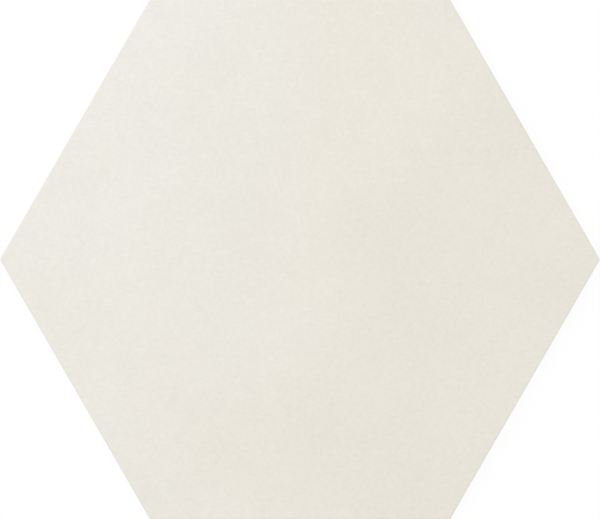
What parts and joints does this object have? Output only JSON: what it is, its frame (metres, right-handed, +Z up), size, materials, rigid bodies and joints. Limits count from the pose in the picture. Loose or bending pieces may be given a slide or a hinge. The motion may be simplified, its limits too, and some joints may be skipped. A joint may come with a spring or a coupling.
{
  "type": "hexagon floor tile",
  "caption": "Regular hexagonal floor tile of matt ivory porcelain, with an eased face edge, drafted sides and a honeycomb back that keys into adhesive.",
  "frame": {"origin": "centre of the back, on the plane that the ribs stand on", "axes": "+Z up through the face, +X towards a corner, +Y towards the middle of a side"},
  "size_m": [0.2496, 0.2164, 0.009],
  "materials": {
    "ivory_porcelain": "matt, fine stipple"
  },
  "bodies": {
    "root": {"hexagon_tile": "ivory_porcelain"}
  },
  "joints": []
}
